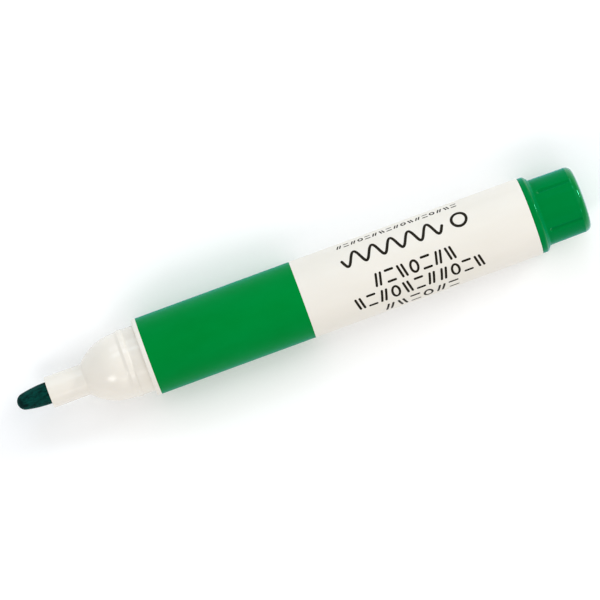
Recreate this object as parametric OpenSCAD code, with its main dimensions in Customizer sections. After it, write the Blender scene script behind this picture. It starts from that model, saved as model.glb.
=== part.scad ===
// Whiteboard marker without its cap, lying on its side.
// The axis runs along X: the nib points to -X and the end plug to +X.
// The origin is on the resting surface, below the middle of the marker's length.
// Outlines are drawn as [radius, station], where a station is a distance in mm from the nib's tip.

/* [Barrel] */
// Outside diameter of the barrel
barrel_d = 17; // [16.6:0.1:18]
// Length of the barrel tube
barrel_len = 87; // [78:0.5:108]
// Wall thickness of the barrel
barrel_wall = 1.4; // [1.3:0.05:1.45]
// Number of lengthwise ribs inside the barrel, which keep an air gap round the reservoir
barrel_ribs = 6; // [3:1:8]

/* [Colour band] */
// Distance from the barrel's front rim to the band
band_inset = 1.05; // [0.6:0.05:5]
// Length of the band
band_len = 34.65; // [10:0.05:58]
// Thickness of the printed band, which is flush with the barrel
band_thickness = 0.05; // [0.04:0.01:0.1]

/* [Front section] */
// Outside diameter of the nib tube
nib_tube_d = 6.88; // [6.4:0.02:7.4]
// Length of the nib tube in front of the dome
nib_tube_len = 8.17; // [6:0.01:10]
// Largest diameter of the dome
dome_d = 14.34; // [14:0.02:14.5]
// Radius of the arc that shapes the dome
dome_arc_r = 11.45; // [10.5:0.05:12]
// Diameter of the ring that the cap seals on
seal_ring_d = 14.9; // [14.7:0.02:15.2]
// Length of the seal ring's round land
seal_ring_len = 0.9; // [0.6:0.1:1.8]
// Diameter of the collar between the seal ring and the barrel
collar_d = 14.62; // [14.52:0.02:14.7]
// Length of the spigot inside the barrel
section_spigot_len = 12; // [9:0.5:15]

/* [Nib] */
// Diameter of the nib
nib_d = 4.8; // [4.6:0.05:5]
// Length of the nib in front of the nib tube
nib_exposed = 7.1; // [6:0.05:8]
// Radius of the arc that runs from the nib's round tip to its shank
nib_flank_r = 26; // [22:0.5:32]
// Whole length of the nib
nib_len = 38; // [36:0.5:40]

/* [Reservoir] */
// Outside diameter of the film round the ink reservoir
reservoir_d = 12.4; // [11.8:0.1:12.6]
// Thickness of the film
film_thickness = 0.1; // [0.06:0.01:0.15]

/* [End plug] */
// Diameter of the flange that closes the barrel
flange_d = 16.74; // [16.5:0.02:16.8]
// Length of the flange's straight side
flange_len = 1.05; // [0.8:0.05:1.4]
// Diameter of the post that the cap is pushed onto, next to the flange
post_d = 14.6; // [14.3:0.05:14.8]
// Length of the plug outside the barrel
plug_exposed = 11.86; // [10:0.02:14]
// Number of grooves along the plug
plug_grooves = 5; // [3:1:12]
// Radius of a plug groove's round bottom
plug_groove_r = 0.8; // [0.6:0.1:1.2]
// Depth of a plug groove next to the flange
plug_groove_depth = 0.2; // [0.12:0.02:0.3]
// Length of the plug's spigot inside the barrel
plug_spigot_len = 8; // [6:0.5:10]

/* [Hidden] */
$fn = 96;

// Colours
plastic_white = [0.92, 0.91, 0.88];
section_white = [0.91, 0.89, 0.86];
plastic_green = [0.00, 0.50, 0.24];
ink_green = [0.00, 0.53, 0.24];
nib_green = [0.01, 0.20, 0.18];
fibre_green = [0.10, 0.42, 0.30];
film_clear = [0.85, 0.90, 0.88];

// Fits
press_gap = 0.05;            // radial clearance of a pushed-in piece
butt_gap = 0.1;              // end clearance of the reservoir
cut = 1;                     // overshoot of a cut past the piece it cuts

// Radii worked out from the driving diameters
barrel_r = barrel_d / 2;
bore_r = barrel_r - barrel_wall;
spigot_r = bore_r - press_gap;
nib_r = nib_d / 2;
nib_bore_r = nib_r + press_gap;
nib_tube_r = nib_tube_d / 2;
dome_r = dome_d / 2;
seal_ring_r = seal_ring_d / 2;
collar_r = collar_d / 2;
film_r = reservoir_d / 2;
fibre_r = film_r - film_thickness;
flange_r = flange_d / 2;
post_r = post_d / 2;

// Stations of the front section, from the nib's tip
tube_mouth = nib_exposed;
tube_mouth_round = 0.15;
tube_taper = 0.05;           // the tube is this much slimmer in radius at the dome
dome_foot = tube_mouth + nib_tube_len;
dome_centre_r = dome_r - dome_arc_r;
tube_root_r = nib_tube_r - tube_taper;
dome_foot_angle = acos((tube_root_r - dome_centre_r) / dome_arc_r);
dome_top = dome_foot + dome_arc_r * sin(dome_foot_angle);
dome_foot_round = 0.5;       // fillet between the tube and the dome
shoulder_len = 0.42;         // from the dome's widest place to the seal ring
ring_lead = 0.6;             // chamfer on the ring that guides the cap
ring_start = dome_top + shoulder_len;
ring_land = ring_start + ring_lead;
ring_end = ring_land + seal_ring_len;
ring_step = 0.3;             // slope from the ring down to the collar
collar_len = 2.47;
rim = ring_end + ring_step + collar_len;
section_end = rim + section_spigot_len;
spigot_chamfer = 0.4;

// Inside of the front section
section_wall = 1.1;
guide_r = nib_tube_r + 0.15; // tube that guides the nib inside the dome
guide_end = rim + 1.5;
hollow_start = dome_foot + 2.6;
reservoir_start = rim + 4.1;
cup_r = film_r + 0.15;       // cup that centres the reservoir
web_count = 4;
web_thickness = 0.8;
web_sink = 0.3;              // how far a web reaches into the walls that it joins
vent_count = 3;
vent_w = 0.6;
vent_depth = 0.4;

// Stations of the barrel, the plug and the reservoir
band_start = rim + band_inset;
barrel_end = rim + barrel_len;
total_len = barrel_end + plug_exposed;
plug_spigot_start = barrel_end - plug_spigot_len;
reservoir_end = plug_spigot_start - 2.5;
nib_socket_depth = nib_len - reservoir_start + 0.3;
rim_round = 0.3;
barrel_tail_chamfer = 0.15;
barrel_rib_w = 0.8;
barrel_rib_top_r = film_r + 0.2;
barrel_rib_start = section_end + 4;
barrel_rib_end = reservoir_end - 2;

// Details of the nib
nib_tip_r = (2 * nib_flank_r * nib_r - pow(nib_r, 2) - pow(nib_exposed, 2)) /
            (2 * (nib_flank_r - nib_exposed));
nib_tip_angle = atan2(nib_exposed - nib_tip_r, nib_flank_r - nib_r);
nib_tail_chamfer = 0.6;

// Details of the end plug
flange_edge = 0.12;          // round edge next to the barrel
flange_round = 0.5;          // round shoulder on the other side
flange_slope = 52;           // angle through which the shoulder turns before it runs straight
post_fillet = 0.45;
post_taper = 0.09;           // the post is this much slimmer in radius at its end
post_flat_r = 2.45;          // flat middle of the plug's end
post_crown_r = 21.7;         // shallow dome from the flat to the corner
post_corner_r = 1.45;
plug_wall = 1.1;
plug_end_wall = 1.6;
plug_web_thickness = 0.9;
plug_cross_inset = 1.5;      // the cross that holds the reservoir is this much smaller in radius
plug_groove_margin = 0.3;    // from the flange's fillet to a groove
plug_groove_tail = 1.7;      // from a groove's end to the plug's end
plug_lead = 0.3;             // chamfer that guides the spigot into the barrel

// Run of the flange's slope and of the fillet at its foot
flange_shoulder = [flange_r - flange_round, barrel_end + flange_len];
slope_top = flange_shoulder + flange_round * [cos(flange_slope), sin(flange_slope)];
fillet_centre_r = post_r + post_fillet;
slope_foot_r = fillet_centre_r - post_fillet * cos(flange_slope);
slope_foot = slope_top[1] + (slope_top[0] - slope_foot_r) / tan(flange_slope);
fillet_end = slope_foot + post_fillet * sin(flange_slope);

// The balls at the ends of the rod that cuts a groove, and how far each cuts beyond its centre
plug_groove_reach = sqrt(pow(plug_groove_r, 2) - pow(plug_groove_r - plug_groove_depth, 2));
plug_groove_first = fillet_end + plug_groove_margin + plug_groove_reach;
plug_groove_last = total_len - plug_groove_tail - plug_groove_reach;

// Points on an arc about centre, from one angle to another, with angles from the radius axis.
function arc(centre, r, from, to, steps = 8) =
    [for (i = [0 : steps])
        let (a = from + (to - from) * i / steps)
        centre + r * [cos(a), sin(a)]];

// Turns an outline of [radius, station] points round the marker's axis.
module turned() {
    on_axis() rotate_extrude() children();
}

// Puts a shape that stands on Z = station into place along X.
module on_axis() {
    translate([-total_len / 2, 0, barrel_r]) rotate([0, 90, 0]) children();
}

// A plain round step from one station to another.
module step(r, from, to) {
    translate([0, from]) square([r, to - from]);
}

// A ring of lengthwise blocks, each with its middle on a radius.
module radial_blocks(count, width, r_from, r_to, from, to, turn = 0) {
    for (i = [0 : count - 1])
        rotate([0, 0, turn + 360 * i / count])
            translate([r_from, -width / 2, from])
                cube([r_to - r_from, width, to - from]);
}

module barrel_outline() {
    recess_r = barrel_r - band_thickness;
    band_end = band_start + band_len;
    polygon(concat(
        [[bore_r, rim]],
        arc([barrel_r - rim_round, rim + rim_round], rim_round, -90, 0, 4),
        [[barrel_r, band_start], [recess_r, band_start], [recess_r, band_end], [barrel_r, band_end],
         [barrel_r, barrel_end - barrel_tail_chamfer], [barrel_r - barrel_tail_chamfer, barrel_end],
         [bore_r, barrel_end]]));
}

module barrel() {
    color(plastic_white) {
        turned() barrel_outline();
        on_axis() radial_blocks(barrel_ribs, barrel_rib_w, barrel_rib_top_r, bore_r + barrel_wall / 2,
                                barrel_rib_start, barrel_rib_end);
    }
}

module colour_band() {
    color(ink_green) turned()
        translate([barrel_r - band_thickness, band_start]) square([band_thickness, band_len]);
}

// Outside of the front section, from the mouth of the nib tube to the end of the spigot.
module section_outline() {
    fillet_r = tube_root_r + dome_foot_round;
    fillet_reach = dome_arc_r + dome_foot_round;
    fillet_angle = acos((fillet_r - dome_centre_r) / fillet_reach);
    fillet_start = dome_top - fillet_reach * sin(fillet_angle);
    polygon(concat(
        [[0, tube_mouth]],
        arc([nib_tube_r - tube_mouth_round, tube_mouth + tube_mouth_round], tube_mouth_round, -90, 0, 3),
        arc([fillet_r, fillet_start], dome_foot_round, 180, 180 - fillet_angle, 5),
        arc([dome_centre_r, dome_top], dome_arc_r, -fillet_angle, 0, 16),
        [[dome_r, ring_start], [seal_ring_r, ring_land], [seal_ring_r, ring_end],
         [collar_r, ring_end + ring_step], [collar_r, rim], [spigot_r, rim],
         [spigot_r, section_end - spigot_chamfer], [spigot_r - spigot_chamfer, section_end],
         [0, section_end]]));
}

// Hollow between the nib guide and the outer wall, and the cup for the reservoir behind it.
module section_hollow() {
    inner_arc_r = dome_arc_r - section_wall;
    start_angle = asin((dome_top - hollow_start) / inner_arc_r);
    hollow_top_r = dome_centre_r + inner_arc_r;
    polygon(concat(
        [[guide_r, hollow_start]],
        arc([dome_centre_r, dome_top], inner_arc_r, -start_angle, 0, 10),
        [[hollow_top_r, reservoir_start], [cup_r, reservoir_start], [cup_r, section_end + cut],
         [0, section_end + cut], [0, guide_end], [guide_r, guide_end]]));
}

module front_section() {
    color(section_white) {
        difference() {
            turned() section_outline();
            turned() section_hollow();
            turned() step(nib_bore_r, tube_mouth - cut, guide_end + cut);
            on_axis() radial_blocks(vent_count, vent_w, 0, nib_bore_r + vent_depth,
                                    tube_mouth - cut, guide_end + cut);
        }
        on_axis() intersection() {
            radial_blocks(web_count, web_thickness, guide_r - web_sink, dome_r - section_wall + web_sink,
                          hollow_start - web_sink, reservoir_start - butt_gap, 45);
            rotate_extrude() section_outline();
        }
    }
}

// Round tip, long flank, then a plain shank with a chamfered tail.
module nib_outline() {
    flank_centre = [nib_r - nib_flank_r, nib_exposed];
    polygon(concat(
        arc([0, nib_tip_r], nib_tip_r, -90, -nib_tip_angle, 12),
        arc(flank_centre, nib_flank_r, -nib_tip_angle, 0, 8),
        [[nib_r, nib_len - nib_tail_chamfer], [nib_r - nib_tail_chamfer, nib_len], [0, nib_len]]));
}

module nib() {
    color(nib_green) turned() nib_outline();
}

module reservoir_fibre() {
    color(fibre_green) difference() {
        turned() step(fibre_r, reservoir_start, reservoir_end);
        turned() step(nib_bore_r, reservoir_start - cut, reservoir_start + nib_socket_depth);
    }
}

module reservoir_film() {
    color(film_clear) turned()
        translate([fibre_r, reservoir_start])
            square([film_thickness, reservoir_end - reservoir_start]);
}

// Outline of the post behind the flange, with a domed end.
module post_outline() {
    end_r = post_r - post_taper;
    reach = post_crown_r - post_corner_r;
    corner_centre_r = end_r - post_corner_r;
    lean = acos((corner_centre_r - post_flat_r) / reach);
    crown_centre = [post_flat_r, total_len - post_crown_r];
    corner_centre = [corner_centre_r, crown_centre[1] + reach * sin(lean)];
    polygon(concat(
        [[0, barrel_end], [post_r, barrel_end]],
        arc(corner_centre, post_corner_r, 0, lean, 8),
        arc(crown_centre, post_crown_r, lean, 90, 6),
        [[0, total_len]]));
}

// Outline of the flange: a straight side, a round shoulder, a slope and a hollow fillet to the post.
module flange_outline() {
    polygon(concat(
        [[0, barrel_end]],
        arc([flange_r - flange_edge, barrel_end + flange_edge], flange_edge, -90, 0, 3),
        arc(flange_shoulder, flange_round, 0, flange_slope, 5),
        arc([fillet_centre_r, fillet_end], post_fillet, 180 + flange_slope, 180, 5),
        [[0, fillet_end]]));
}

// Outline of the spigot, with a chamfer at its leading end.
module plug_spigot_outline() {
    polygon([[0, plug_spigot_start], [spigot_r - plug_lead, plug_spigot_start],
             [spigot_r, plug_spigot_start + plug_lead], [spigot_r, barrel_end], [0, barrel_end]]);
}

// Round-ended rods that lie along the post and cut its soft grooves, with one groove at the bottom.
module plug_groove_rods() {
    for (i = [0 : plug_grooves - 1])
        rotate([0, 0, 360 * i / plug_grooves])
            translate([post_r + plug_groove_r - plug_groove_depth, 0, 0])
                rotate_extrude($fn = 48)
                    polygon(concat(
                        arc([0, plug_groove_first], plug_groove_r, -90, 0),
                        arc([0, plug_groove_last], plug_groove_r, 0, 90)));
}

module end_plug() {
    hollow_end = total_len - plug_end_wall;
    hollow_r = spigot_r - plug_wall;
    web_r = hollow_r + plug_wall / 2;
    color(plastic_green) {
        difference() {
            turned() union() {
                plug_spigot_outline();
                flange_outline();
                post_outline();
            }
            on_axis() plug_groove_rods();
            turned() step(hollow_r, plug_spigot_start - cut, hollow_end);
        }
        // Crossed webs, whose middle reaches forward to hold the reservoir
        on_axis() radial_blocks(4, plug_web_thickness, 0, web_r,
                                plug_spigot_start + plug_lead, hollow_end + plug_end_wall / 2, 45);
        on_axis() radial_blocks(4, plug_web_thickness, 0, film_r - plug_cross_inset,
                                reservoir_end + butt_gap, plug_spigot_start + cut, 45);
    }
}

barrel();
colour_band();
front_section();
nib();
reservoir_fibre();
reservoir_film();
end_plug();
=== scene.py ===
"""The looks of a whiteboard marker without its cap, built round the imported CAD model.

The marker lies on a pale floor. A point on it is given by x, its place along the axis, by its
radius from that axis, and by its angle round it, which is 0 straight up and grows towards -Y.
"""

import math

import bmesh
import bpy
from mathutils import Matrix, Vector, noise


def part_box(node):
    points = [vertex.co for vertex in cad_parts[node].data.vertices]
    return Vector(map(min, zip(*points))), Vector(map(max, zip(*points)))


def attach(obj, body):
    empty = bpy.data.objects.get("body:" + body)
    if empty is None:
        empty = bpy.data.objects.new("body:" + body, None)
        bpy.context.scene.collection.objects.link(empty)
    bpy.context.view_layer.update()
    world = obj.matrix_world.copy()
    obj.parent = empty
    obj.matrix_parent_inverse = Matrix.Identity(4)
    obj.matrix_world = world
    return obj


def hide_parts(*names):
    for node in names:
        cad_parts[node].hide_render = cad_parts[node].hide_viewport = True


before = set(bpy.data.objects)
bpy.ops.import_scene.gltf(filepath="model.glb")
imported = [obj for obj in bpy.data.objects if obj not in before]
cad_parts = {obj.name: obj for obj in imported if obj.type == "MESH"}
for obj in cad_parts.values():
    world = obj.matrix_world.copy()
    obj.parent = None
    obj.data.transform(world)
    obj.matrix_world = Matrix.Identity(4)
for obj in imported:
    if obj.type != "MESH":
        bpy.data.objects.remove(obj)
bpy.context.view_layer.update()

MM = 0.001
BODY = "barrel_assembly"

# Places along the axis and radii, read from the CAD model.
BARREL_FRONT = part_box("barrel")[0].x
BARREL_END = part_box("barrel")[1].x
BARREL_R = (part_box("barrel")[1].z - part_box("barrel")[0].z) / 2
AXIS_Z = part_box("barrel")[0].z + BARREL_R
BAND_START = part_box("colour_band")[0].x
BAND_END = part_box("colour_band")[1].x
TUBE_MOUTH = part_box("front_section")[0].x
SECTION_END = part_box("front_section")[1].x
RING_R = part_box("front_section")[1].z - AXIS_Z
NIB_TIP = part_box("nib")[0].x
NIB_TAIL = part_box("nib")[1].x
NIB_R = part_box("nib")[1].z - AXIS_Z
FIBRE_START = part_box("reservoir_fibre")[0].x
FIBRE_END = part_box("reservoir_fibre")[1].x
FIBRE_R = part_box("reservoir_fibre")[1].z - AXIS_Z
FILM_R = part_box("reservoir_film")[1].z - AXIS_Z
PLUG_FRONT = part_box("end_plug")[0].x
PLUG_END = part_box("end_plug")[1].x
FLANGE_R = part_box("end_plug")[1].z - AXIS_Z

# Sizes that the boxes don't give, as in the CAD model. First the barrel, with the ribs inside it.
BORE_R = BARREL_R - 1.4 * MM
SPIGOT_R = BORE_R - 0.05 * MM
BAND_RECESS = 0.05 * MM
INNER_RIBS = 6
INNER_RIB_W = 0.8 * MM
INNER_RIB_TOP_R = FILM_R + 0.2 * MM
INNER_RIB_START = SECTION_END + 4 * MM
INNER_RIB_END = FIBRE_END - 2 * MM

# The front section, from the nib's tube back to the spigot inside the barrel.
TUBE_R = 3.44 * MM
TUBE_ROOT_R = 3.39 * MM
NIB_BORE_R = NIB_R + 0.05 * MM
DOME_FOOT = TUBE_MOUTH + 8.17 * MM
DOME_R = 7.17 * MM
DOME_ARC_R = 11.45 * MM
DOME_FILLET = 0.5 * MM
DOME_CENTRE_R = DOME_R - DOME_ARC_R
DOME_TOP = DOME_FOOT + math.sqrt(DOME_ARC_R ** 2 - (TUBE_ROOT_R - DOME_CENTRE_R) ** 2)
RING_START = DOME_TOP + 0.42 * MM
RING_LAND = RING_START + 0.6 * MM
RING_END = RING_LAND + 0.9 * MM
COLLAR_START = RING_END + 0.3 * MM
COLLAR_R = 7.31 * MM
GUIDE_R = TUBE_R + 0.15 * MM
GUIDE_END = BARREL_FRONT + 1.5 * MM
HOLLOW_START = DOME_FOOT + 2.6 * MM
SECTION_WALL = 1.1 * MM
HOLLOW_R = DOME_R - SECTION_WALL
CUP_R = FILM_R + 0.15 * MM
VENTS = 3
VENT_W = 0.6 * MM
VENT_DEPTH = 0.4 * MM
SECTION_WEBS = 4
SECTION_WEB_W = 0.8 * MM
WEB_SINK = 0.3 * MM
SPIGOT_CHAMFER = 0.4 * MM
BUTT_GAP = 0.1 * MM                 # end clearance of the reservoir
SOCKET_GAP = 0.3 * MM               # between the nib's tail and the bottom of its socket

# The nib.
NIB_SHOWN = 7.1 * MM
NIB_FLANK_R = 26 * MM
NIB_TAIL_EDGE = 0.6 * MM

# The end plug.
POST_R = 7.3 * MM
POST_TAPER = 0.09 * MM
POST_FILLET = 0.45 * MM
POST_FLAT_R = 2.45 * MM
POST_CROWN_R = 21.7 * MM
POST_CORNER_R = 1.45 * MM
FLANGE_LEN = 1.05 * MM
FLANGE_ROUND = 0.5 * MM
FLANGE_SLOPE = 52
PLUG_SPIGOT = 8 * MM
PLUG_SPIGOT_EDGE = 0.3 * MM
PLUG_WALL = 1.1 * MM
PLUG_END_WALL = 1.6 * MM
PLUG_WEB_W = 0.9 * MM
PLUG_CROSS_R = FILM_R - 1.5 * MM
PLUG_CROSS_SINK = 1 * MM
PLUG_GROOVES = 5
PLUG_GROOVE_R = 0.8 * MM
PLUG_GROOVE_DEPTH = 0.2 * MM
PLUG_GROOVE_MARGIN = 0.3 * MM
PLUG_GROOVE_TAIL = 1.7 * MM

# Sizes and counts of the visual model.
INK = 0.01 * MM                     # the print stands this far out of the plastic
BAND_EDGE = 0.006 * MM              # rounding of the printed band's edges
RIB_RAMP = 0.2 * MM                 # half the length of the slope at the end of a rib in the barrel
RIB_FLANK = 0.1 * MM                # half the width of the slope at its side
RIB_RAMP_STEP = 0.1 * MM
TUBE_EDGE = 0.1 * MM                # bevel inside the mouth of the nib's tube
VENT_FLANK = 0.05 * MM              # half the width of the slope at a vent's side
FURROW_DEPTH = 0.035 * MM           # depth of the furrows between the nib's fibres
FURROWS_ALONG = 0.25                # noise cells in a millimetre along the nib
FURROWS_ROUND = 9                   # noise cells in a radian round it
FINE_FURROWS = 2.4                  # the finer furrows lie this many times closer
STRAND_DEPTH = 0.06 * MM            # depth of the furrows between the reservoir's strands
STRANDS_ALONG = 0.08                # noise cells in a millimetre along the reservoir
STRANDS_ROUND = 3                   # noise cells in a millimetre across it
GROOVE_SOFT = 0.02 * MM             # softness of the edges of the plug's grooves
# The plug's third material is a darker green for its grooves: painted shade.
PLUG_PLAIN, PLUG_WORN, PLUG_SHADED_GROOVE = 0, 1, 2  # places of the plug's materials in its list
TINY = 1e-7                         # a length too small to matter

AROUND = 240                        # faces round a turned piece
NIB_AROUND = 360
PLUG_AROUND = 480
ROUNDING_STEPS = 5
ARC_STEPS = 16                      # faces along an inner arc or the plug's crown
FOOT_STEPS = 6
FILLET_STEPS = 12
CORNER_STEPS = 24
DOME_STEPS = 40                     # faces along the dome, and along the nib's flank
SHARP = 32                          # edges sharper than so many degrees stay sharp
PLUG_SHARP = 50
PRINT_SHARP = 60


# Shapes ------------------------------------------------------------------------------------------

def place(x, radius, angle):
    """The point at x, radius and angle, in the row frame."""
    return Vector((x, -radius * math.sin(angle), AXIS_Z + radius * math.cos(angle)))


def arc(centre_x, centre_r, radius, start, end, steps):
    """Points (x, radius) on an arc. Angles are in degrees, from +X towards larger radii."""
    points = []
    for i in range(steps + 1):
        a = math.radians(start + (end - start) * i / steps)
        points.append((centre_x + radius * math.cos(a), centre_r + radius * math.sin(a)))
    return points


def rounded(corners):
    """Points (x, radius) of an open line of corners (x, radius, rounding), each one rounded."""
    points = []
    for i, (x, r, rounding) in enumerate(corners):
        here = Vector((x, r))
        if rounding == 0 or i in (0, len(corners) - 1):
            points.append((x, r))
            continue
        back = (Vector(corners[i - 1][:2]) - here).normalized()
        ahead = (Vector(corners[i + 1][:2]) - here).normalized()
        half = math.acos(max(-1.0, min(1.0, back.dot(ahead)))) / 2
        centre = here + (back + ahead).normalized() * rounding / math.sin(half)
        first = here + back * rounding / math.tan(half) - centre
        last = here + ahead * rounding / math.tan(half) - centre
        turn = first.angle_signed(last)
        for k in range(ROUNDING_STEPS + 1):
            a = -turn * k / ROUNDING_STEPS
            p = centre + Vector((first.x * math.cos(a) - first.y * math.sin(a),
                                 first.x * math.sin(a) + first.y * math.cos(a)))
            points.append((p.x, p.y))
    return points


def finer(points, step):
    """The same line with a point at least every step, so that its faces can be shaped."""
    made = [points[0]]
    for a, b in zip(points, points[1:]):
        parts = max(1, math.ceil(math.dist(a, b) / step))
        for k in range(1, parts + 1):
            made.append((a[0] + (b[0] - a[0]) * k / parts, a[1] + (b[1] - a[1]) * k / parts))
    return made


def new_object(name, verts, faces, sharp=SHARP):
    """A mesh object with outward normals, smooth but for edges sharper than so many degrees."""
    mesh = bpy.data.meshes.new(name)
    mesh.from_pydata([tuple(v) for v in verts], [], faces)
    work = bmesh.new()
    work.from_mesh(mesh)
    bmesh.ops.recalc_face_normals(work, faces=work.faces)
    work.to_mesh(mesh)
    work.free()
    mesh.shade_smooth()
    mesh.set_sharp_from_angle(angle=math.radians(sharp))
    obj = bpy.data.objects.new(name, mesh)
    bpy.context.scene.collection.objects.link(obj)
    return obj


def turned(name, points, closed=False, relief=None, around=AROUND, sharp=SHARP):
    """Turns a line of (x, radius) points round the axis.

    relief(x, radius, angle) is added to the radius.
    """
    verts, rings = [], []
    for x, r in points:
        if r < TINY:
            rings.append([len(verts)] * around)
            verts.append(place(x, 0, 0))
            continue
        rings.append([len(verts) + k for k in range(around)])
        for k in range(around):
            angle = 2 * math.pi * k / around
            verts.append(place(x, r + (relief(x, r, angle) if relief else 0), angle))
    faces = []
    pairs = list(zip(rings, rings[1:])) + ([(rings[-1], rings[0])] if closed else [])
    for a, b in pairs:
        for k in range(around):
            n = (k + 1) % around
            corners = list(dict.fromkeys((a[k], a[n], b[n], b[k])))
            if len(corners) > 2:
                faces.append(corners)
    return new_object(name, verts, faces, sharp)


def slab(name, outline, width, angle):
    """A flat web in a plane through the axis, from an outline of (x, radius), for a union."""
    out = place(0, 1, angle) - place(0, 0, angle)
    side = Vector((0, out.z, -out.y))
    count = len(outline)
    verts = [Vector((x, 0, AXIS_Z)) + out * r + side * s * width / 2
             for s in (-1, 1) for x, r in outline]
    faces = [tuple(range(count)), tuple(range(2 * count - 1, count - 1, -1))]
    faces += [(k, (k + 1) % count, count + (k + 1) % count, count + k) for k in range(count)]
    return new_object(name, verts, faces)


def united(obj, others, sharp=SHARP):
    """Makes one solid of obj and the others."""
    for other in others:
        union = obj.modifiers.new("union", "BOOLEAN")
        union.operation = "UNION"
        union.solver = "EXACT"
        union.object = other
    bpy.context.view_layer.update()
    depsgraph = bpy.context.evaluated_depsgraph_get()
    mesh = bpy.data.meshes.new_from_object(obj.evaluated_get(depsgraph))
    obj.modifiers.clear()
    obj.data = mesh
    for other in others:
        bpy.data.objects.remove(other)
    mesh.shade_smooth()
    mesh.set_sharp_from_angle(angle=math.radians(sharp))
    return obj


def smooth_step(low, high, value):
    """Runs softly from 0 to 1 as value goes from low to high."""
    t = max(0.0, min(1.0, (value - low) / (high - low)))
    return t * t * (3 - 2 * t)


def off_nearest(angle, count, first):
    """The angle from the nearest of count even ribs, vents or grooves, one of which is at first."""
    pitch = 2 * math.pi / count
    return (angle - first + pitch / 2) % pitch - pitch / 2


# Pieces ------------------------------------------------------------------------------------------

def make_barrel():
    """The white tube, with a recess for the colour band and the ribs that hold the reservoir."""
    outer = BARREL_R - INK
    recess = BARREL_R - BAND_RECESS
    points = rounded([
        (BARREL_FRONT, BORE_R + 0.05 * MM, 0),
        (BARREL_FRONT, outer, 0.3 * MM),
        (BAND_START, outer, 0),
        (BAND_START, recess, 0),
        (BAND_END, recess, 0),
        (BAND_END, outer, 0),
        (BARREL_END, outer, 0.15 * MM),
        (BARREL_END, BORE_R, 0.1 * MM),
        (INNER_RIB_END + RIB_RAMP, BORE_R, 0),
    ])
    rear_ramp = [(INNER_RIB_END + RIB_RAMP, BORE_R), (INNER_RIB_END - RIB_RAMP, BORE_R)]
    front_ramp = [(INNER_RIB_START + RIB_RAMP, BORE_R), (INNER_RIB_START - RIB_RAMP, BORE_R)]
    points += finer(rear_ramp, RIB_RAMP_STEP)[1:]
    points += finer(front_ramp, RIB_RAMP_STEP)
    points += [(BARREL_FRONT, BORE_R)]

    def ribs(x, r, angle):
        """Ribs that stand inwards from the bore, with a slope at each end and side."""
        if r > BORE_R + TINY:
            return 0
        along = smooth_step(INNER_RIB_START - RIB_RAMP, INNER_RIB_START + RIB_RAMP, x)
        along *= smooth_step(INNER_RIB_END + RIB_RAMP, INNER_RIB_END - RIB_RAMP, x)
        across = abs(off_nearest(angle, INNER_RIBS, math.pi)) * BORE_R
        flank = smooth_step(INNER_RIB_W / 2 + RIB_FLANK, INNER_RIB_W / 2 - RIB_FLANK, across)
        return -(BORE_R - INNER_RIB_TOP_R) * along * flank

    return turned("barrel_shell", points, closed=True, relief=ribs)


def make_band():
    """The colour band, a skin of ink flush with the barrel."""
    points = rounded([
        (BAND_START, BARREL_R - BAND_RECESS, 0),
        (BAND_START, BARREL_R, BAND_EDGE),
        (BAND_END, BARREL_R, BAND_EDGE),
        (BAND_END, BARREL_R - BAND_RECESS, 0),
    ])
    return turned("printed_band", points, closed=True)


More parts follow.
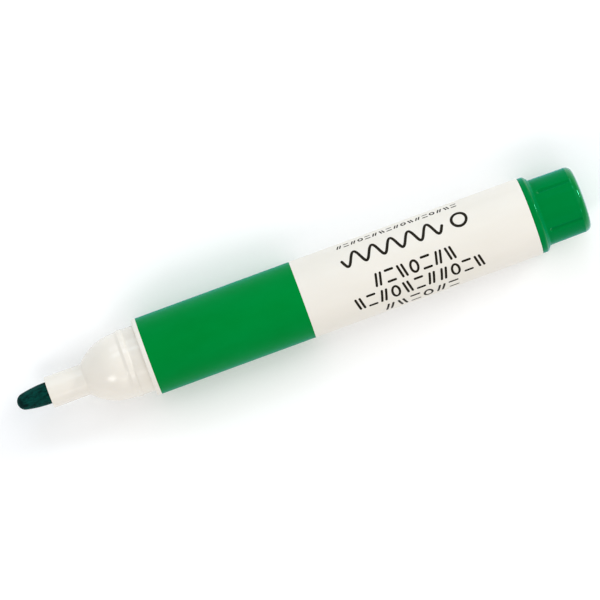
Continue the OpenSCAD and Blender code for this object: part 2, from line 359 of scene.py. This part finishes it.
def make_section():
    """The nib's tube, the dome, the sealing ring, the collar and the spigot, with webs inside."""
    fillet_reach = DOME_ARC_R + DOME_FILLET
    fillet_r = TUBE_ROOT_R + DOME_FILLET
    foot_angle = math.degrees(math.acos((fillet_r - DOME_CENTRE_R) / fillet_reach))
    fillet_x = DOME_TOP - fillet_reach * math.sin(math.radians(foot_angle))
    inner_arc_r = DOME_ARC_R - SECTION_WALL
    hollow_angle = math.degrees(math.asin((DOME_TOP - HOLLOW_START) / inner_arc_r))

    bore = finer([(GUIDE_END, NIB_BORE_R), (TUBE_MOUTH + TUBE_EDGE, NIB_BORE_R)], step=3 * MM)
    mouth = rounded([
        (TUBE_MOUTH + TUBE_EDGE, NIB_BORE_R, 0),
        (TUBE_MOUTH, NIB_BORE_R + TUBE_EDGE, 0),
        (TUBE_MOUTH, TUBE_R, 0.15 * MM),
        (fillet_x, TUBE_ROOT_R, 0),
    ])
    foot = arc(fillet_x, fillet_r, DOME_FILLET, 270, 270 + foot_angle, FOOT_STEPS)
    dome = arc(DOME_TOP, DOME_CENTRE_R, DOME_ARC_R, 90 + foot_angle, 90, DOME_STEPS)
    rear = rounded([
        (DOME_TOP, DOME_R, 0),
        (RING_START, DOME_R, 0.8 * MM),
        (RING_LAND, RING_R, 0.5 * MM),
        (RING_END, RING_R, 0.12 * MM),
        (COLLAR_START, COLLAR_R, 0.12 * MM),
        (BARREL_FRONT, COLLAR_R, 0),
        (BARREL_FRONT, SPIGOT_R, 0),
        (SECTION_END - SPIGOT_CHAMFER, SPIGOT_R, 0.2 * MM),
        (SECTION_END, SPIGOT_R - SPIGOT_CHAMFER, 0.1 * MM),
        (SECTION_END, CUP_R, 0.1 * MM),
        (FIBRE_START, CUP_R, 0),
        (FIBRE_START, HOLLOW_R, 0),
    ])
    hollow = arc(DOME_TOP, DOME_CENTRE_R, inner_arc_r, 90, 90 + hollow_angle, ARC_STEPS)
    guide = [(HOLLOW_START, GUIDE_R), (GUIDE_END, GUIDE_R)]
    points = bore[:-1] + mouth[:-1] + foot[:-1] + dome[:-1] + rear + hollow + guide

    def vents(x, r, angle):
        """Channels along the nib's bore, which let air into the marker."""
        if r > NIB_BORE_R + TUBE_EDGE + TINY:
            return 0
        across = abs(off_nearest(angle, VENTS, math.pi)) * NIB_BORE_R
        return VENT_DEPTH * smooth_step(VENT_W / 2 + VENT_FLANK, VENT_W / 2 - VENT_FLANK, across)

    shell = turned("nib_holder", points, closed=True, relief=vents)

    # The webs reach a little into the dome's wall and the guide, so that the union is sound.
    web_foot = GUIDE_R - WEB_SINK
    web_end = FIBRE_START - BUTT_GAP
    web_arc_r = inner_arc_r + WEB_SINK
    web_angle = math.degrees(math.asin((DOME_TOP - HOLLOW_START + WEB_SINK) / web_arc_r))
    web = [(HOLLOW_START - WEB_SINK, web_foot)]
    web += arc(DOME_TOP, DOME_CENTRE_R, web_arc_r, 90 + web_angle, 90, ARC_STEPS)
    web += [(web_end, HOLLOW_R + WEB_SINK), (web_end, web_foot)]
    webs = [slab(f"web_{i}", web, SECTION_WEB_W, math.pi / 4 + i * 2 * math.pi / SECTION_WEBS)
            for i in range(SECTION_WEBS)]
    return united(shell, webs)


def make_nib():
    """The bullet nib, with a round tip, a curved flank and a shank back to the reservoir."""
    # The tip's arc runs into the flank's, and the flank's into the shank, without a corner.
    tip_r = ((2 * NIB_FLANK_R * NIB_R - NIB_R ** 2 - NIB_SHOWN ** 2)
             / (2 * (NIB_FLANK_R - NIB_SHOWN)))
    join = math.degrees(math.atan2(NIB_SHOWN - tip_r, NIB_FLANK_R - NIB_R))
    shank_start = NIB_TIP + NIB_SHOWN
    shank_end = NIB_TAIL - NIB_TAIL_EDGE
    tip = arc(NIB_TIP + tip_r, 0, tip_r, 180, 90 + join, CORNER_STEPS)
    flank = arc(shank_start, NIB_R - NIB_FLANK_R, NIB_FLANK_R, 90 + join, 90, DOME_STEPS)
    shank = finer([(shank_start, NIB_R), (shank_end, NIB_R)], step=1 * MM)
    tail = rounded([
        (shank_end, NIB_R, 0),
        (NIB_TAIL, NIB_R - NIB_TAIL_EDGE, 0.1 * MM),
        (NIB_TAIL, 0, 0),
    ])
    points = tip[:-1] + flank[:-1] + shank[:-1] + tail

    def furrows(x, r, angle):
        """Fine furrows along the nib, cut into the surface, with none at the very tip."""
        at = Vector((x / MM * FURROWS_ALONG,
                     FURROWS_ROUND * math.cos(angle), FURROWS_ROUND * math.sin(angle)))
        height = noise.noise(at * FINE_FURROWS) * 0.5 + noise.noise(at) * 0.5
        return -FURROW_DEPTH * (0.5 + height) * smooth_step(0, NIB_R, r)

    return turned("writing_nib", points, relief=furrows, around=NIB_AROUND)


def make_fibre():
    """The reservoir's fibre, with a socket for the nib's tail in its front end."""
    socket_end = NIB_TAIL + SOCKET_GAP
    points = rounded([
        (socket_end, 0, 0),
        (socket_end, NIB_BORE_R, 0.2 * MM),
        (FIBRE_START, NIB_BORE_R, 0.2 * MM),
        (FIBRE_START, FIBRE_R, 0.3 * MM),
        (FIBRE_END, FIBRE_R, 0.3 * MM),
        (FIBRE_END, 0, 0),
    ])
    points = finer(points, step=0.8 * MM)

    def strands(x, r, angle):
        """Furrows along the fibre, cut into the surface, with none in the nib's socket."""
        at = Vector((x / MM * STRANDS_ALONG, r / MM * STRANDS_ROUND * math.cos(angle),
                     r / MM * STRANDS_ROUND * math.sin(angle)))
        return -STRAND_DEPTH * (0.5 + noise.noise(at)) * smooth_step(NIB_BORE_R, FIBRE_R, r)

    return turned("ink_fibre", points, relief=strands)


def make_film():
    """The film wrapped round the reservoir's fibre."""
    points = rounded([
        (FIBRE_START, FIBRE_R, 0),
        (FIBRE_START, FILM_R, 0.03 * MM),
        (FIBRE_END, FILM_R, 0.03 * MM),
        (FIBRE_END, FIBRE_R, 0),
    ])
    return turned("fibre_film", points, closed=True)


def make_plug():
    """The end plug: a spigot with a cross inside, a flange, and a post with soft grooves."""
    spigot_start = BARREL_END - PLUG_SPIGOT
    spigot_edge = spigot_start + PLUG_SPIGOT_EDGE
    hollow_end = PLUG_END - PLUG_END_WALL
    hollow_r = SPIGOT_R - PLUG_WALL

    # The post ends in a shallow crown, and a corner's arc runs into both it and the post's side.
    end_r = POST_R - POST_TAPER
    reach = POST_CROWN_R - POST_CORNER_R
    corner_r = end_r - POST_CORNER_R
    lean = math.degrees(math.acos((corner_r - POST_FLAT_R) / reach))
    corner_x = PLUG_END - POST_CROWN_R + reach * math.sin(math.radians(lean))

    # The flange's shoulder curves into a slope, and a fillet joins that to the post.
    shoulder_x = BARREL_END + FLANGE_LEN
    slope = math.radians(FLANGE_SLOPE)
    slope_top = (shoulder_x + FLANGE_ROUND * math.sin(slope),
                 FLANGE_R - FLANGE_ROUND * (1 - math.cos(slope)))
    slope_foot_r = POST_R + POST_FILLET * (1 - math.cos(slope))
    slope_foot_x = slope_top[0] + (slope_top[1] - slope_foot_r) / math.tan(slope)
    fillet_x = slope_foot_x + POST_FILLET * math.sin(slope)

    # A groove is the cut of a round-ended rod. These are the places where the ends' curves start.
    groove_reach = math.sqrt(PLUG_GROOVE_R ** 2 - (PLUG_GROOVE_R - PLUG_GROOVE_DEPTH) ** 2)
    groove_first = fillet_x + PLUG_GROOVE_MARGIN + groove_reach
    groove_last = PLUG_END - PLUG_GROOVE_TAIL - groove_reach
    rod_at = POST_R + PLUG_GROOVE_R - PLUG_GROOVE_DEPTH

    spigot = rounded([
        (hollow_end, 0, 0),
        (hollow_end, hollow_r, 0.4 * MM),
        (spigot_start, hollow_r, 0.1 * MM),
        (spigot_start, SPIGOT_R - PLUG_SPIGOT_EDGE, 0.08 * MM),
        (spigot_edge, SPIGOT_R, 0.1 * MM),
        (BARREL_END, SPIGOT_R, 0),
        (BARREL_END, FLANGE_R, 0.12 * MM),
        (shoulder_x, FLANGE_R, 0),
    ])
    shoulder = arc(shoulder_x, FLANGE_R - FLANGE_ROUND, FLANGE_ROUND, 90, 90 - FLANGE_SLOPE,
                   FILLET_STEPS)
    fillet = arc(fillet_x, POST_R + POST_FILLET, POST_FILLET, 270 - FLANGE_SLOPE, 270,
                 FILLET_STEPS)
    post = finer([(fillet_x, POST_R), (corner_x, end_r)], step=0.08 * MM)
    corner = arc(corner_x, corner_r, POST_CORNER_R, 90, 90 - lean, CORNER_STEPS)
    crown = arc(PLUG_END - POST_CROWN_R, POST_FLAT_R, POST_CROWN_R, 90 - lean, 0, ARC_STEPS)
    points = spigot[:-1] + shoulder + fillet + post[1:-1] + corner[:-1] + crown + [(PLUG_END, 0)]

    def grooves(x, r, angle):
        """Cuts of round-ended rods that lie along the post, softened at their edges."""
        if r < end_r - 1 * MM:      # not on the outside of the post
            return 0
        across = off_nearest(angle, PLUG_GROOVES, math.pi)
        past_end = max(groove_first - x, x - groove_last, 0)
        inside = PLUG_GROOVE_R ** 2 - past_end ** 2 - (rod_at * math.sin(across)) ** 2
        if inside <= 0:
            return 0
        left = rod_at * math.cos(across) - math.sqrt(inside) - r
        return min(0, (left - math.sqrt(left * left + GROOVE_SOFT * GROOVE_SOFT)) / 2)

    def finish_at(x, r):
        """The material of a face: worn on the end, the shoulder and the grooves' first walls, and
        in the rest of each groove a darker green that is painted shade.
        """
        side_r = POST_R - POST_TAPER * (x - fillet_x) / (corner_x - fillet_x)
        deepest = side_r - PLUG_GROOVE_DEPTH - GROOVE_SOFT
        in_groove = fillet_x < x < corner_x and deepest < r < side_r - 2 * GROOVE_SOFT
        on_shoulder = shoulder_x < x < slope_top[0] and r > end_r
        if x > corner_x or on_shoulder or (in_groove and x < groove_first):
            return PLUG_WORN
        # The rest of each groove gets the darker green, painted shade in place of the shade in the
        # recess.
        return PLUG_SHADED_GROOVE if in_groove else PLUG_PLAIN

    shell = turned("rear_plug", points, relief=grooves, around=PLUG_AROUND, sharp=PLUG_SHARP)
    web_end = hollow_end + PLUG_END_WALL / 2
    web_r = hollow_r + PLUG_WALL / 2
    cross_end = spigot_start + PLUG_CROSS_SINK
    outlines = {
        "web": [(spigot_edge, -web_r), (spigot_edge, web_r), (web_end, web_r), (web_end, -web_r)],
        "cross": [(PLUG_FRONT, -PLUG_CROSS_R), (PLUG_FRONT, PLUG_CROSS_R),
                  (cross_end, PLUG_CROSS_R), (cross_end, -PLUG_CROSS_R)],
    }
    webs = [slab(f"{name}_{i}", outline, PLUG_WEB_W, math.pi / 4 + i * math.pi / 2)
            for name, outline in outlines.items() for i in range(2)]
    made = united(shell, webs, sharp=PLUG_SHARP)
    for face in made.data.polygons:
        r = math.hypot(face.center.y, face.center.z - AXIS_Z)
        face.material_index = finish_at(face.center.x, r)
    return made


# The print on the barrel -------------------------------------------------------------------------

PRINT_START = BAND_END + 10.05 * MM
STROKE_CELLS = 4                    # faces across a stroke
STROKE_STEP = 0.2 * MM
END_STEPS = 5                       # rows of faces in a stroke's round end
END_TIP = 0.04                      # share of its width that a stroke keeps at its tip
RING_STEPS = 40
WAVE_STEPS = 28                     # steps in one wave
MARK_FILL = 0.78                    # share of its cell that a mark fills
PAIR_GAP = 0.6                      # from one slanted stroke to the other, as a share of the mark
PAIR_LEAN = 0.3                     # how far the ends of those strokes lean, as a share of that


class Print:
    """Marks of ink on the barrel, each a thin closed slab that follows the barrel's curve."""

    def __init__(self):
        self.verts = []
        self.faces = []

    def stroke(self, line, width, closed=False):
        """A stroke along (x, distance round the barrel) points, with round ends unless closed."""
        line = [Vector(p) for p in (line if closed else finer(line, STROKE_STEP))]
        last = len(line) - 1
        rows = []
        for i, p in enumerate(line):
            before = line[i - 1] if i or closed else p
            after = line[(i + 1) % len(line)] if i < last or closed else p
            rows.append((p, (after - before).normalized(), width / 2))
        if not closed:
            rows = self.round_end(rows[0], -1) + rows + self.round_end(rows[-1], 1)[::-1]
        self.add_slab(rows, closed)

    @staticmethod
    def round_end(row, way):
        """Rows of a half circle before (way -1) or after (way 1) a row, from the tip inwards."""
        middle, along, half = row
        rows = []
        for k in range(END_STEPS):
            a = math.pi / 2 * k / END_STEPS
            rows.append((middle + along * (way * half * math.cos(a)), along,
                         half * max(math.sin(a), END_TIP)))
        return rows

    def add_slab(self, rows, closed):
        """A slab across rows of (middle, direction, half width), its underside in the plastic."""
        top, under = [], []
        for middle, along, half in rows:
            across = Vector((-along.y, along.x))
            for level, r in ((top, BARREL_R), (under, BARREL_R - 2 * INK)):
                ids = []
                for c in range(STROKE_CELLS + 1):
                    p = middle + across * half * (2 * c / STROKE_CELLS - 1)
                    ids.append(len(self.verts))
                    self.verts.append(place(p.x, r, p.y / BARREL_R))
                level.append(ids)
        last = len(rows) - 1
        for i, n in [(i, i + 1) for i in range(last)] + ([(last, 0)] if closed else []):
            for c in range(STROKE_CELLS):
                self.faces.append((top[i][c], top[i][c + 1], top[n][c + 1], top[n][c]))
                self.faces.append((under[i][c], under[n][c], under[n][c + 1], under[i][c + 1]))
            for c in (0, STROKE_CELLS):
                self.faces.append((top[i][c], top[n][c], under[n][c], under[i][c]))
        for i in () if closed else (0, last):
            for c in range(STROKE_CELLS):
                self.faces.append((top[i][c], top[i][c + 1], under[i][c + 1], under[i][c]))

    def marks(self, cells, x, angle, length, height, width):
        """A row of marks: / or \\ is a pair of slanted strokes, = a pair of dashes and o a ring."""
        y = math.radians(angle) * BARREL_R
        pitch = length / len(cells)
        half = height / 2 - width / 2
        for i, cell in enumerate(cells):
            left = x + i * pitch + width / 2
            right = x + (i + MARK_FILL) * pitch - width / 2
            if cell in "/\\":
                way = 1 if cell == "/" else -1
                middle = (left + right) / 2
                gap = PAIR_GAP * (right - left)
                for shift in (-0.5, 0.5):
                    at = middle + shift * gap
                    self.stroke([(at - way * PAIR_LEAN * gap, y + half),
                                 (at + way * PAIR_LEAN * gap, y - half)], width)
            elif cell == "=":
                for side in (-1, 1):
                    self.stroke([(left, y + side * half), (right, y + side * half)], width)
            else:
                self.ring((left + right) / 2, angle, half, width, (right - left) / 2 / half)

    def ring(self, x, angle, radius, width, stretch=1.0):
        """A ring round a point, drawn out along the barrel by stretch."""
        y = math.radians(angle) * BARREL_R
        self.stroke([(x + radius * stretch * math.cos(2 * math.pi * k / RING_STEPS),
                      y + radius * math.sin(2 * math.pi * k / RING_STEPS))
                     for k in range(RING_STEPS)], width, closed=True)

    def wave(self, x, angle, length, height, width, waves):
        """A wavy line along the barrel, as a sample of what the marker draws."""
        y = math.radians(angle) * BARREL_R
        steps = int(waves * WAVE_STEPS)
        self.stroke([(x + length * k / steps,
                      y + height / 2 * math.sin(2 * math.pi * waves * k / steps))
                     for k in range(steps + 1)], width)


def make_print():
    """Generic marks in place of lettering: a sample of the marker's line, and rows of strokes."""
    ink = Print()
    ink.marks("/=/o=/\\=/o\\/=o/\\=", PRINT_START + 0.3 * MM, angle=-64.5,
              length=27.3 * MM, height=1.4 * MM, width=0.32 * MM)
    ink.wave(PRINT_START + 0.4 * MM, angle=-32.6,
             length=22.4 * MM, height=3.2 * MM, width=0.62 * MM, waves=5.5)
    ink.ring(PRINT_START + 26.6 * MM, angle=-32.6, radius=1.6 * MM, width=0.62 * MM)
    ink.marks("/=\\o=/\\", PRINT_START + 5.3 * MM, angle=10.2,
              length=18.8 * MM, height=3.0 * MM, width=0.52 * MM)
    ink.marks("\\=/o\\=//o=\\", PRINT_START, angle=37.2,
              length=29.4 * MM, height=3.1 * MM, width=0.52 * MM)
    ink.marks("/\\=o/=", PRINT_START + 5.8 * MM, angle=65.5,
              length=17.2 * MM, height=2.7 * MM, width=0.5 * MM)
    return new_object("barrel_print", ink.verts, ink.faces, sharp=PRINT_SHARP)


# Materials ---------------------------------------------------------------------------------------

NEUTRAL = (1.0, 1.0, 1.0)
GREEN_SHINE = (0.0, 1.0, 0.9)
WORN_SHINE = (0.06, 1.0, 0.6)
GREEN_HAZE = (0.0, 0.6, 1.0)
INK_FUZZ = (0.3, 0.85, 0.85)
WHITE_SCATTER = (1.0, 0.85, 0.6)
PLASTIC_IOR = 1.49
FILM_IOR = 1.45
HAZE_ROUGH = 0.4
FIBRE_SHINE = 0.05
NOISE_LOW, NOISE_HIGH = 0.3, 0.7    # most of a noise's values lie between these


class Nodes:
    """Short calls for building one material's nodes."""

    def __init__(self, name):
        self.material = bpy.data.materials.new(name)
        self.material.use_nodes = True
        self.tree = self.material.node_tree
        self.shader = self.tree.nodes["Principled BSDF"]
        self.where = self.add("ShaderNodeTexCoord").outputs["Object"]

    def add(self, kind, **inputs):
        """A new node, with its inputs linked or set."""
        node = self.tree.nodes.new(kind)
        for key, value in inputs.items():
            socket = node.inputs[key.replace("_", " ")]
            if isinstance(value, bpy.types.NodeSocket):
                self.tree.links.new(value, socket)
            else:
                socket.default_value = value
        return node

    def link(self, out, socket):
        """Links an output to the shader."""
        self.tree.links.new(out, self.shader.inputs[socket])

    def set(self, socket, value):
        """Sets one of the shader's own inputs."""
        self.shader.inputs[socket].default_value = value

    def noise(self, size, stretch=(1, 1, 1), detail=3.0, roughness=0.55):
        """Noise whose features are about size metres, drawn out along each axis by stretch."""
        mapped = self.add("ShaderNodeMapping", Vector=self.where, Scale=[1 / s for s in stretch])
        made = self.add("ShaderNodeTexNoise", Vector=mapped.outputs["Vector"], Scale=1 / size,
                        Detail=detail, Roughness=roughness)
        return made.outputs["Fac"]

    def ranged(self, value, first, second, low=NOISE_LOW, high=NOISE_HIGH):
        """Runs from the first number to the second as value goes from low to high."""
        made = self.add("ShaderNodeMapRange", Value=value, From_Min=low, From_Max=high,
                        To_Min=first, To_Max=second)
        return made.outputs["Result"]

    def sum(self, first, second):
        """Adds two values."""
        made = self.add("ShaderNodeMath")
        made.operation = "ADD"
        self.tree.links.new(first, made.inputs[0])
        self.tree.links.new(second, made.inputs[1])
        return made.outputs["Value"]

    def shades(self, value, first, second, low=NOISE_LOW, high=NOISE_HIGH):
        """Runs from the first colour to the second as value goes from low to high."""
        ramp = self.add("ShaderNodeValToRGB", Fac=value)
        ramp.color_ramp.elements[0].position = low
        ramp.color_ramp.elements[0].color = (*first, 1)
        ramp.color_ramp.elements[1].position = high
        ramp.color_ramp.elements[1].color = (*second, 1)
        return ramp.outputs["Color"]

    def bump(self, height, depth, before=None):
        """The normal of a surface with this height of so many metres, on top of an earlier bump."""
        made = self.add("ShaderNodeBump", Height=height, Distance=depth, Strength=1.0)
        if before:
            self.tree.links.new(before, made.inputs["Normal"])
        return made.outputs["Normal"]

    def gloss(self, shine, tint):
        """How strong the reflection is, and its tint."""
        self.set("Specular IOR Level", shine)
        self.set("Specular Tint", (*tint, 1))

    def haze(self, weight, tint):
        """A soft veil that shows where the surface is seen at a slant."""
        self.set("Sheen Weight", weight)
        self.set("Sheen Roughness", HAZE_ROUGH)
        self.set("Sheen Tint", (*tint, 1))


def linear(red, green, blue):
    """A colour from its 0 to 255 screen values, as linear light."""
    return tuple(c / 255 / 12.92 if c <= 10 else ((c / 255 + 0.055) / 1.055) ** 2.4
                 for c in (red, green, blue))


def plastic(name, dark, light, rough, shine, tint, scatter=0.0, haze=0.0):
    """Moulded plastic: a slightly uneven shade, a fine flow texture and scuffs along the axis."""
    n = Nodes(name)
    n.link(n.shades(n.noise(9 * MM, (3, 1, 1)), dark, light, 0.35, 0.65), "Base Color")
    scuffs = n.noise(0.12 * MM, (40, 1, 1), detail=4)
    n.link(n.ranged(scuffs, rough - 0.05, rough + 0.07), "Roughness")
    flow = n.bump(n.noise(0.5 * MM), depth=0.004 * MM)
    n.link(n.bump(scuffs, depth=0.0015 * MM, before=flow), "Normal")
    n.set("IOR", PLASTIC_IOR)
    n.gloss(shine, tint)
    n.set("Subsurface Weight", scatter)
    n.set("Subsurface Radius", WHITE_SCATTER)
    n.set("Subsurface Scale", 1 * MM)
    n.haze(haze, GREEN_HAZE)
    return n.material


def printed_ink(name, dark, light, rough, shine, tint, haze=0.0):
    """Screen-printed ink: a fine grain in shade, gloss and height."""
    n = Nodes(name)
    grain = n.noise(0.09 * MM, detail=2)
    n.link(n.shades(n.noise(5 * MM, (2, 1, 1)), dark, light), "Base Color")
    n.link(n.ranged(grain, rough - 0.06, rough + 0.06), "Roughness")
    n.link(n.bump(grain, depth=0.002 * MM), "Normal")
    n.gloss(shine, tint)
    n.haze(haze, GREEN_HAZE)
    return n.material


def fibre_material(name, dark, light):
    """The reservoir's loose fibre, soaked with ink, with strands along the axis."""
    n = Nodes(name)
    strands = n.noise(0.3 * MM, (30, 1, 1), detail=5, roughness=0.7)
    n.link(n.shades(strands, dark, light, 0.35, 0.65), "Base Color")
    n.link(n.ranged(strands, 0.75, 0.93), "Roughness")
    n.link(n.bump(strands, depth=0.05 * MM), "Normal")
    n.set("Specular IOR Level", FIBRE_SHINE)
    return n.material


def nib_material(name, dark, light):
    """Bonded fibre soaked with ink: fine strands under clouds of ink, darker near the tip."""
    n = Nodes(name)
    strands = n.noise(0.08 * MM, (14, 1, 1), detail=4, roughness=0.7)
    clouds = n.noise(0.6 * MM, (2.2, 1, 1), detail=5, roughness=0.6)
    along = n.add("ShaderNodeSeparateXYZ", Vector=n.where).outputs["X"]
    fade = n.ranged(along, -0.18, 0.0, low=NIB_TIP, high=NIB_TIP + 3 * MM)
    mottle = n.sum(n.ranged(strands, -0.1, 0.1), n.ranged(clouds, 0.3, 0.74, 0.35, 0.65))
    n.link(n.shades(n.sum(mottle, fade), dark, light), "Base Color")
    n.link(n.ranged(strands, 0.7, 0.88), "Roughness")
    lumps = n.bump(clouds, depth=0.03 * MM)
    n.link(n.bump(strands, depth=0.02 * MM, before=lumps), "Normal")
    n.set("Specular IOR Level", FIBRE_SHINE)
    n.haze(0.15, INK_FUZZ)
    return n.material


def film_material(name):
    """Thin clear film with soft creases."""
    n = Nodes(name)
    crinkle = n.noise(2.5 * MM, (2, 1, 1), detail=4)
    n.link(n.shades(crinkle, (0.80, 0.88, 0.84), (0.92, 0.97, 0.95)), "Base Color")
    n.link(n.ranged(crinkle, 0.12, 0.26), "Roughness")
    n.link(n.bump(crinkle, depth=0.05 * MM), "Normal")
    n.set("Transmission Weight", 0.9)
    n.set("IOR", FILM_IOR)
    return n.material


def floor_material(name):
    """A pale matt floor with a fine grain."""
    n = Nodes(name)
    grain = n.noise(0.6 * MM, detail=4)
    n.link(n.shades(grain, (0.955, 0.955, 0.955), (0.97, 0.97, 0.97), 0.2, 0.8), "Base Color")
    n.link(n.ranged(grain, 0.6, 0.75), "Roughness")
    n.link(n.bump(grain, depth=0.005 * MM), "Normal")
    return n.material


# Stage -------------------------------------------------------------------------------------------

PHOTO_ROLL = 20.15                  # degrees that the axis climbs to the right in the picture
PHOTO_WIDTH = 127.03 * MM           # width of the picture at the axis
SENSOR_WIDTH = 36
CAMERA_DISTANCE = 1.0376
CAMERA_X = -12.2 * MM
AIM = Vector((0.04 * MM, 0.1 * MM, AXIS_Z))

FLOOR_HALF = 3
WORLD_STRENGTH = 0.65
SKY = (0.7, 0.86, 1.0)
# The lights: name, direction from the marker, distance, level width and height, power and colour.
LIGHTS = (
    ("overhead", (0.42, 0.16, 0.9), 2.2, (1.9, 1.9), 6.5, NEUTRAL),
    ("soft_front", (-0.52, -0.47, 0.71), 1.4, (0.4, 0.4), 3.3, NEUTRAL),
    ("strip_rear", (0.9, 0.2, 0.39), 1.4, (0.38, 0.1), 7.5, NEUTRAL),
    ("side_far", (0.05, 0.94, 0.34), 1.4, (0.9, 0.5), 2.4, SKY),
    ("side_near", (0.05, -0.94, 0.34), 1.4, (0.9, 0.5), 0.4, NEUTRAL),
    ("strip_far", (0.03, 0.69, 0.72), 1.4, (0.9, 0.3), 2.6, SKY),
    ("strip_near", (0.03, -0.69, 0.72), 1.4, (0.9, 0.3), 1.7, NEUTRAL),
)


def make_camera():
    """A long lens above the marker, a little nearer to the nib's end, rolled as in the photo."""
    data = bpy.data.cameras.new("camera")
    data.sensor_width = SENSOR_WIDTH
    data.lens = SENSOR_WIDTH * CAMERA_DISTANCE / PHOTO_WIDTH
    data.clip_start = 0.01
    data.clip_end = 20
    cam = bpy.data.objects.new("camera", data)
    bpy.context.scene.collection.objects.link(cam)
    cam.location = AIM + Vector((CAMERA_X, 0, CAMERA_DISTANCE))
    roll = math.radians(PHOTO_ROLL)
    back = (cam.location - AIM).normalized()
    right = Vector((math.sin(roll), math.cos(roll), 0)).cross(back).normalized()
    up = back.cross(right)
    cam.rotation_euler = Matrix((right, up, back)).transposed().to_euler()
    bpy.context.scene.camera = cam


def make_light(name, direction, distance, size, power, colour):
    """A soft light that shines at the marker from a direction."""
    data = bpy.data.lights.new(name, "AREA")
    data.shape = "RECTANGLE"
    data.size, data.size_y = size
    data.energy = power
    data.color = colour
    lamp = bpy.data.objects.new(name, data)
    bpy.context.scene.collection.objects.link(lamp)
    lamp.location = Vector(direction).normalized() * distance
    lamp.rotation_euler = Vector(direction).to_track_quat("Z", "Y").to_euler()


def make_stage():
    """The pale floor and soft studio light."""
    world = bpy.data.worlds.new("studio")
    world.use_nodes = True
    background = world.node_tree.nodes["Background"]
    background.inputs["Color"].default_value = (1, 1, 1, 1)
    background.inputs["Strength"].default_value = WORLD_STRENGTH
    bpy.context.scene.world = world
    corners = [(x * FLOOR_HALF, y * FLOOR_HALF, 0) for x, y in ((-1, -1), (1, -1), (1, 1), (-1, 1))]
    mesh = bpy.data.meshes.new("floor")
    mesh.from_pydata(corners, [], [(0, 1, 2, 3)])
    mesh.materials.append(floor_material("pale_floor"))
    ground = bpy.data.objects.new("floor", mesh)
    bpy.context.scene.collection.objects.link(ground)
    for light in LIGHTS:
        make_light(*light)
    bpy.context.scene.view_settings.view_transform = "Standard"


# The marker --------------------------------------------------------------------------------------

def finish_piece(obj, materials, body, node=None):
    """Gives a piece its materials and its body, and hides the CAD node that it stands in for, where
    it has one.
    """
    for material in materials:
        obj.data.materials.append(material)
    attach(obj, body)
    if node:
        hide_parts(node)


white = plastic("barrel_plastic", linear(223, 218, 208), linear(227, 222, 213),
                rough=0.4, shine=0.3, tint=NEUTRAL, scatter=0.06)
cream = plastic("section_plastic", linear(226, 220, 209), linear(230, 224, 214),
                rough=0.2, shine=0.5, tint=NEUTRAL, scatter=0.06)
green = plastic("plug_plastic", linear(0, 118, 48), linear(0, 123, 54),
                rough=0.13, shine=0.02, tint=GREEN_SHINE, haze=0.36)
worn_green = plastic("plug_plastic_worn", linear(0, 110, 34), linear(0, 115, 41),
                     rough=0.08, shine=0.6, tint=WORN_SHINE, haze=0.27)
# A darker green without reflection for the grooves: painted shade, in place of the shade that falls
# in these recesses.
groove_painted_shade = plastic("plug_plastic_groove_painted_shade", linear(0, 113, 48), linear(0, 118, 54),
                       rough=0.3, shine=0.0, tint=GREEN_SHINE, haze=0.2)
band_ink = printed_ink("band_ink", linear(0, 122, 43), linear(0, 127, 49),
                       rough=0.42, shine=0.035, tint=GREEN_SHINE, haze=0.27)
print_ink = printed_ink("print_ink", linear(24, 19, 9), linear(32, 26, 14),
                        rough=0.45, shine=0.1, tint=NEUTRAL)
loose_fibre = fibre_material("reservoir_fibre", linear(10, 80, 60), linear(30, 120, 90))
nib_fibre = nib_material("nib_fibre", linear(0, 28, 26), linear(2, 64, 56))
clear_film = film_material("reservoir_film")

finish_piece(make_barrel(), [white], BODY, "barrel")
finish_piece(make_band(), [band_ink], BODY, "colour_band")
finish_piece(make_print(), [print_ink], BODY)
finish_piece(make_section(), [cream], BODY, "front_section")
finish_piece(make_fibre(), [loose_fibre], BODY, "reservoir_fibre")
finish_piece(make_film(), [clear_film], BODY, "reservoir_film")
finish_piece(make_nib(), [nib_fibre], "nib", "nib")
finish_piece(make_plug(), [green, worn_green, groove_painted_shade], "end_plug", "end_plug")

make_camera()
make_stage()
